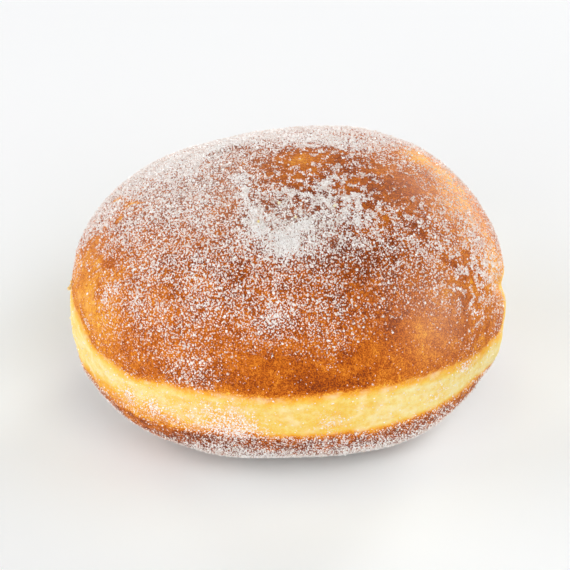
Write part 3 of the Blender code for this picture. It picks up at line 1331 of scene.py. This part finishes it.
class StrewGrains:
    """Geometry Nodes tree that strews sugar crystals over a surface."""

    VARIANTS = 4
    MAP_CELLS = 256.0
    BLOCK_SIZE: Place = (1.0, 0.86, 0.74)
    CHIP_SIZE: dict[str, float] = {"Vertices": 3, "Radius Top": 0.0, "Radius Bottom": 0.6, "Depth": 0.9}
    CHIP_DROP: Place = (0.0, 0.0, -0.25)
    KNOCK = 0.16
    LEAST_FORM, GREATEST_FORM = 0.75, 1.2
    CLEARANCE = 0.02 * MM
    INPUTS: Sockets = (
        ("Geometry", "NodeSocketGeometry"),
        ("Grains per square metre", "NodeSocketFloat"),
        ("Grain length", "NodeSocketFloat"),
        ("Smallest share", "NodeSocketFloat"),
        ("Pile height", "NodeSocketFloat"),
        ("Clumping", "NodeSocketFloat"),
        ("Whiteness", "NodeSocketFloat"),
        ("Seed", "NodeSocketInt"),
        ("Finish", "NodeSocketMaterial"),
    )

    def __init__(self, shape: GrainShape) -> None:
        """Build the tree for one form of crystal.

        Args:
            shape: The form.
        """
        self.shape = shape
        self.tree = new_group(f"strew {shape.name.lower()}", "GeometryNodeTree", self.INPUTS, self.INPUTS[0])
        self.graph = NodeGraph(self.tree)
        self.source = self.graph.add("NodeGroupInput").outputs
        points = self._kept_points()
        crystals = self._instances(points)
        self.graph.add("NodeGroupOutput", {"Geometry": self._finished(crystals)})

    def _random(self, low: Any, high: Any, shift: int, vector: bool = False) -> bpy.types.NodeSocket:
        """A random value for each grain.

        Args:
            low: Least value.
            high: Greatest value.
            shift: Added to the seed, so that each use draws its own.
            vector: Draw three values at once.

        Returns:
            The output with the value.
        """
        seed = self.graph.math("ADD", self.source["Seed"], float(shift))
        first = 0 if vector else 2
        kind = "FLOAT_VECTOR" if vector else "FLOAT"
        inputs = {first: low, first + 1: high, "Seed": seed}
        node = self.graph.add("FunctionNodeRandomValue", inputs, data_type=kind)
        return node.outputs[0 if vector else 1]

    def _named(self, name: str, kind: str = "FLOAT") -> bpy.types.NodeSocket:
        """Read an attribute that the geometry carries."""
        return self.graph.add("GeometryNodeInputNamedAttribute", {"Name": name}, data_type=kind).outputs[0]

    def _position(self) -> bpy.types.NodeSocket:
        """Read where each point of the geometry is."""
        return self.graph.add("GeometryNodeInputPosition").outputs[0]

    def _moved(self, geometry: Any, **values: Any) -> bpy.types.NodeSocket:
        """Give the geometry's points an Offset or a new Position."""
        return self.graph.add("GeometryNodeSetPosition", {"Geometry": geometry, **values}).outputs[0]

    def _kept_points(self) -> bpy.types.NodeSocket:
        """Strew points evenly, then keep them in clumps where the cover asks for them.

        Returns:
            The points that are left.
        """
        graph = self.graph
        strewn = graph.add("GeometryNodeDistributePointsOnFaces", {
            "Mesh": self.source["Geometry"], "Density": self.source["Grains per square metre"],
            "Seed": self.source["Seed"]}, distribute_method="RANDOM")
        self.normal = strewn.outputs["Normal"]
        clumping = self.source["Clumping"]
        loose = graph.math("MULTIPLY", self._random(0.0, 1.0, 1), graph.math("SUBTRACT", 1.0, clumping))
        level = ClumpField().level(graph, self._position(), self._named("lumps"))
        limit = graph.math("MULTIPLY_ADD", level, clumping, loose)
        self.cover = self._named("cover")
        self.depth = graph.rise(graph.math("SUBTRACT", self.cover, level), -0.1, 0.5)
        drop = graph.add("FunctionNodeCompare", {0: limit, 1: self.cover}, data_type="FLOAT",
                         operation="GREATER_THAN").outputs[0]
        return graph.add("GeometryNodeDeleteGeometry", {
            "Geometry": strewn.outputs["Points"], "Selection": drop}, domain="POINT").outputs[0]

    def _plain_crystal(self) -> bpy.types.NodeSocket:
        """One crystal about a metre long, before its corners are knocked about.

        Returns:
            Its mesh.
        """
        graph = self.graph
        if self.shape is GrainShape.BLOCK:
            return graph.add("GeometryNodeMeshCube", {"Size": self.BLOCK_SIZE}).outputs["Mesh"]
        chip = graph.add("GeometryNodeMeshCone", self.CHIP_SIZE).outputs["Mesh"]
        inputs = {"Geometry": chip, "Translation": self.CHIP_DROP}
        return graph.add("GeometryNodeTransform", inputs).outputs[0]

    def _crystal(self, variant: int) -> bpy.types.NodeSocket:
        """One crystal with its corners knocked about, as an instance.

        Args:
            variant: Number that sets how they are knocked.

        Returns:
            The instance.
        """
        inputs = {0: (-self.KNOCK,) * 3, 1: (self.KNOCK,) * 3, "Seed": variant}
        knock = self.graph.add("FunctionNodeRandomValue", inputs, data_type="FLOAT_VECTOR").outputs[0]
        knocked = self._moved(self._plain_crystal(), Offset=knock)
        marked = self._stored(knocked, "unit", self._position(), "FLOAT_VECTOR")
        return self.graph.add("GeometryNodeGeometryToInstance", {0: marked}).outputs[0]

    def _stored(self, geometry: Any, name: str, value: Any, kind: str = "FLOAT",
                domain: str = "POINT") -> bpy.types.NodeSocket:
        """Store a named attribute.

        Args:
            geometry: What carries it.
            name: Its name.
            value: The field to store.
            kind: Blender's name of its data type.
            domain: Blender's name of its domain.

        Returns:
            The geometry with the attribute.
        """
        inputs = {"Geometry": geometry, "Name": name, "Value": value}
        settings = {"data_type": kind, "domain": domain}
        return self.graph.add("GeometryNodeStoreNamedAttribute", inputs, **settings).outputs[0]

    def _instances(self, points: bpy.types.NodeSocket) -> bpy.types.NodeSocket:
        """Put a crystal on each point, turned and sized at random, some piled higher.

        Args:
            points: Where the crystals go.

        Returns:
            The instances.
        """
        graph = self.graph
        top = graph.math("MULTIPLY", self.source["Pile height"], self.depth)
        lift = graph.math("MULTIPLY", self._random(0.0, 1.0, 2), top)
        points = self._moved(points, Offset=graph.scaled(self.normal, lift))
        points = self._stored(points, "tint", self._random(0.0, self.source["Whiteness"], 3))
        points = self._stored(points, "heap", self.cover)
        points = self._stored(points, "grain", graph.add("GeometryNodeInputIndex").outputs[0], "INT")
        choices = graph.add("GeometryNodeJoinGeometry")
        for variant in range(self.VARIANTS):
            self.tree.links.new(self._crystal(variant), choices.inputs[0])
        euler = self._random((0.0,) * 3, (math.tau,) * 3, 4, vector=True)
        turn = graph.add("FunctionNodeEulerToRotation", {0: euler}).outputs[0]
        share = self._random(self.source["Smallest share"], 1.0, 5)
        length = graph.math("MULTIPLY", share, self.source["Grain length"])
        form = self._random((self.LEAST_FORM,) * 3, (self.GREATEST_FORM,) * 3, 6, vector=True)
        inputs = {4: 0, 5: self.VARIANTS - 1, "Seed": 6}
        choice = graph.add("FunctionNodeRandomValue", inputs, data_type="INT")
        return graph.add("GeometryNodeInstanceOnPoints", {
            "Points": points, "Instance": choices.outputs[0], "Pick Instance": True,
            "Instance Index": choice.outputs[2], "Rotation": turn,
            "Scale": graph.scaled(form, length)}).outputs[0]

    def _finished(self, crystals: bpy.types.NodeSocket) -> bpy.types.NodeSocket:
        """Realize the crystals, keep them off the table, map them and set their finish.

        Args:
            crystals: The instances.

        Returns:
            Their mesh.
        """
        graph = self.graph
        real = graph.add("GeometryNodeRealizeInstances", {0: crystals}).outputs[0]
        parts = graph.add("ShaderNodeSeparateXYZ", {0: self._position()}).outputs
        level = graph.math("MAXIMUM", parts[2], self.CLEARANCE)
        above = graph.add("ShaderNodeCombineXYZ", {0: parts[0], 1: parts[1], 2: level}).outputs[0]
        real = self._moved(real, Position=above)
        real = self._stored(real, BAKE_MAP, self._cell_place(), "FLOAT2", "CORNER")
        flat = graph.add("GeometryNodeSetShadeSmooth", {"Geometry": real, "Shade Smooth": False}).outputs[0]
        inputs = {"Geometry": flat, "Material": self.source["Finish"]}
        return graph.add("GeometryNodeSetMaterial", inputs).outputs[0]

    def _cell_place(self) -> bpy.types.NodeSocket:
        """Place on the bake map: each crystal fills a small cell of its own.

        Returns:
            The place, as a vector.
        """
        graph = self.graph
        grain = self._named("grain", "INT")
        parts = graph.add("ShaderNodeSeparateXYZ", {0: self._named("unit", "FLOAT_VECTOR")}).outputs
        column = graph.math("MODULO", grain, self.MAP_CELLS)
        row = graph.math("FLOOR", graph.math("DIVIDE", grain, self.MAP_CELLS))
        inputs = {}
        for side, (cell, slant) in enumerate(((column, 0.35), (row, 0.25))):
            slanted = graph.math("MULTIPLY_ADD", parts[2], slant, parts[side])
            within = graph.math("MULTIPLY_ADD", slanted, 0.5, 0.5)
            inputs[side] = graph.math("DIVIDE", graph.math("ADD", cell, within), self.MAP_CELLS)
        return graph.add("ShaderNodeCombineXYZ", inputs).outputs[0]


@dataclass(frozen=True)
class SugarKind:
    """One kind of sugar grain and how it lies.

    Attributes:
        name: Name of its piece.
        zone: Where it lies.
        shape: Form of its crystals.
        length: Length of the largest crystal, in millimetres.
        smallest: Length of the smallest as a share of that.
        per_square_mm: Crystals on each square millimetre at full cover.
        pile: How high the top crystals lie above the crust, in millimetres.
        clumping: How strongly the crystals clump, from 0 to 1.
        whiteness: How white the whitest crystals are, from 0 to 1.
        seed: Seed of its random draws.
    """

    name: str
    zone: Zone
    shape: GrainShape
    length: float
    smallest: float
    per_square_mm: float
    pile: float
    clumping: float
    whiteness: float
    seed: int


@dataclass
class SugarCoat:
    """All the sugar on the doughnut, one piece for each kind of grain.

    Attributes:
        kinds: The kinds of grain.
        trees: The tree for each form of crystal, filled when it is first needed.
    """

    kinds: tuple[SugarKind, ...] = (
        SugarKind("sugar_coarse", Zone.CROWN, GrainShape.BLOCK, 0.46, 0.7, 0.9, 0.08, 0.50, 1.0, 11),
        SugarKind("sugar_medium", Zone.CROWN, GrainShape.BLOCK, 0.36, 0.7, 1.2, 0.08, 0.60, 0.9, 22),
        SugarKind("sugar_fine", Zone.CROWN, GrainShape.CHIP, 0.36, 0.6, 8.0, 0.09, 0.82, 0.95, 33),
        SugarKind("sugar_finer", Zone.CROWN, GrainShape.CHIP, 0.30, 0.6, 9.0, 0.07, 0.75, 0.9, 44),
        SugarKind("sugar_finest", Zone.CROWN, GrainShape.CHIP, 0.26, 0.6, 8.5, 0.06, 0.45, 0.8, 55),
        SugarKind("sugar_drift", Zone.DRIFT, GrainShape.CHIP, 0.42, 0.6, 12.0, 0.38, 0.45, 1.0, 66),
        SugarKind("sugar_underside", Zone.UNDERSIDE, GrainShape.CHIP, 0.46, 0.6, 6.5, 0.20, 0.65, 0.95, 77),
        SugarKind("sugar_belt", Zone.BELT, GrainShape.CHIP, 0.48, 0.6, 8.0, 0.05, 0.55, 0.9, 88),
    )
    trees: dict[GrainShape, StrewGrains] = field(default_factory=dict)

    def build(self, dough: Dough, surface: bpy.types.Object, finish: SugarFinish) -> None:
        """Strew every kind over the dough.

        Args:
            dough: Says where sugar lies.
            surface: The finished dough.
            finish: What the crystals are made of.
        """
        material = finish.material()
        for kind in self.kinds:
            piece = self._strewn(kind, dough, surface, material)
            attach(piece, BODY)
            piece.data.calc_loop_triangles()
            triangles = len(piece.data.loop_triangles)
            LOG.info("%s: %d crystals, %d triangles", kind.name, triangles // kind.shape.value, triangles)

    def _strewn(self, kind: SugarKind, dough: Dough, surface: bpy.types.Object,
                material: bpy.types.Material) -> bpy.types.Object:
        """Make one kind's piece.

        Args:
            kind: The kind of grain.
            dough: Says where sugar lies.
            surface: The finished dough.
            material: The crystals' material.

        Returns:
            The piece, as a plain mesh.
        """
        bed = surface.data.copy()
        bed.materials.clear()
        write_attribute(bed, "cover", dough.cover(kind.zone))
        piece = stand(kind.name, bed)
        if kind.shape not in self.trees:
            self.trees[kind.shape] = StrewGrains(kind.shape)
        tree = self.trees[kind.shape].tree
        strewing = piece.modifiers.new("strewing", "NODES")
        strewing.node_group = tree
        values = {
            "Grains per square metre": kind.per_square_mm / MM**2,
            "Grain length": kind.length * MM,
            "Smallest share": kind.smallest,
            "Pile height": kind.pile * MM,
            "Clumping": kind.clumping,
            "Whiteness": kind.whiteness,
            "Seed": kind.seed,
            "Finish": material,
        }
        for socket in tree.interface.items_tree:
            if socket.in_out == "INPUT" and socket.name in values:
                strewing[socket.identifier] = values[socket.name]
        done = piece.evaluated_get(bpy.context.evaluated_depsgraph_get())
        mesh = bpy.data.meshes.new_from_object(done)
        piece.modifiers.clear()
        piece.data = mesh
        mesh.name = kind.name
        bpy.data.meshes.remove(bed)
        for name in ("cover", "lumps", "grain", "unit"):
            if name in mesh.attributes:
                mesh.attributes.remove(mesh.attributes[name])
        return piece


# ---------------------------------------------------------------------------------------
# The studio


@dataclass(frozen=True)
class SoftBox:
    """A square soft light that points at the doughnut.

    Attributes:
        name: Its name.
        turn: Where it hangs, in degrees round Z from +X.
        tilt: How far from straight above, in degrees.
        distance: How far from the doughnut, in metres.
        side: Length of its side, in metres.
        watts: Its power.
    """

    name: str
    turn: float
    tilt: float
    distance: float
    side: float
    watts: float

    def hang(self, target: Vector) -> None:
        """Hang the light where its turn round Z and tilt from the zenith say.

        Args:
            target: What it points at, in metres.
        """
        light = bpy.data.lights.new(self.name, "AREA")
        light.size = self.side
        light.energy = self.watts
        lamp = stand(self.name, light)
        turn, tilt = math.radians(self.turn), math.radians(self.tilt)
        away = Vector((math.sin(tilt) * math.cos(turn), math.sin(tilt) * math.sin(turn), math.cos(tilt)))
        lamp.location = target + away * self.distance
        lamp.rotation_euler = away.to_track_quat("Z", "Y").to_euler()


@dataclass
class Studio:
    """Pale floor, even light and the camera.

    Attributes:
        floor_side: Length of the floor's side, in metres.
        sky_strength: Strength of the light that comes from all round.
        camera_height: How far the camera looks down, in degrees.
        camera_distance: How far it stands from its aim, in metres.
        lens: Its focal length, in millimetres.
        aim: What it looks at.
        lights: The soft lights.  Their turns and tilts, and the first four powers, came out of
            a least-squares fit; the last two powers were then lowered.
    """

    floor_side: float = 12.0
    sky_strength: float = 0.20
    camera_height: float = 32.0
    camera_distance: float = 0.65
    lens: float = 199.0
    aim: Place = (-0.8, 0.6, 22.6)
    lights: tuple[SoftBox, ...] = (
        SoftBox("front left light", 240.0, 70.0, 1.3, 0.9, 6.4),
        SoftBox("front right light", 300.0, 50.0, 1.3, 0.9, 7.4),
        SoftBox("left light", 180.0, 70.0, 1.3, 0.9, 7.3),
        SoftBox("right light", 0.0, 50.0, 1.3, 0.9, 3.7),
        SoftBox("low back right light", 60.0, 82.0, 1.3, 0.35, 14.0),
        SoftBox("low back left light", 120.0, 82.0, 1.3, 0.35, 5.2),
    )

    def build(self) -> None:
        """Set up floor, light and camera."""
        self._floor()
        self._sky()
        target = Vector(self.aim) * MM
        for light in self.lights:
            light.hang(target)
        self._camera(target)

    def _floor(self) -> None:
        """Lay the floor."""
        sheet = bmesh.new()
        bmesh.ops.create_grid(sheet, x_segments=1, y_segments=1, size=self.floor_side / 2)
        mesh = bpy.data.meshes.new("floor")
        sheet.to_mesh(mesh)
        sheet.free()
        mesh.materials.append(FloorFinish().material())
        stand("floor", mesh)

    def _sky(self) -> None:
        """Light the whole room evenly."""
        world = bpy.data.worlds.new("studio")
        world.use_nodes = True
        background = world.node_tree.nodes["Background"]
        background.inputs["Color"].default_value = (1.0, 1.0, 1.0, 1.0)
        background.inputs["Strength"].default_value = self.sky_strength
        bpy.context.scene.world = world
        bpy.context.scene.view_settings.view_transform = "Standard"

    def _camera(self, target: Vector) -> None:
        """Stand the camera in front of the doughnut and point it down at its target.

        Args:
            target: What it points at, in metres.
        """
        camera = bpy.data.cameras.new("camera")
        camera.lens = self.lens
        camera.clip_start = 0.01
        height = math.radians(self.camera_height)
        away = Vector((0.0, -math.cos(height), math.sin(height)))
        tripod = stand("camera", camera)
        tripod.location = target + away * self.camera_distance
        tripod.rotation_euler = away.to_track_quat("Z", "Y").to_euler()
        bpy.context.scene.camera = tripod


def main() -> None:
    """Build every piece and the studio; the pieces log how many squares, crumbs and crystals they have."""
    logging.basicConfig(level=logging.INFO, format="%(name)s: %(message)s")
    dough = Dough()
    surface = dough.build(DoughFinish())
    Crumbs().build(DoughFinish())
    SugarCoat().build(dough, surface, SugarFinish())
    Studio().build()


if __name__ == "__main__":
    main()
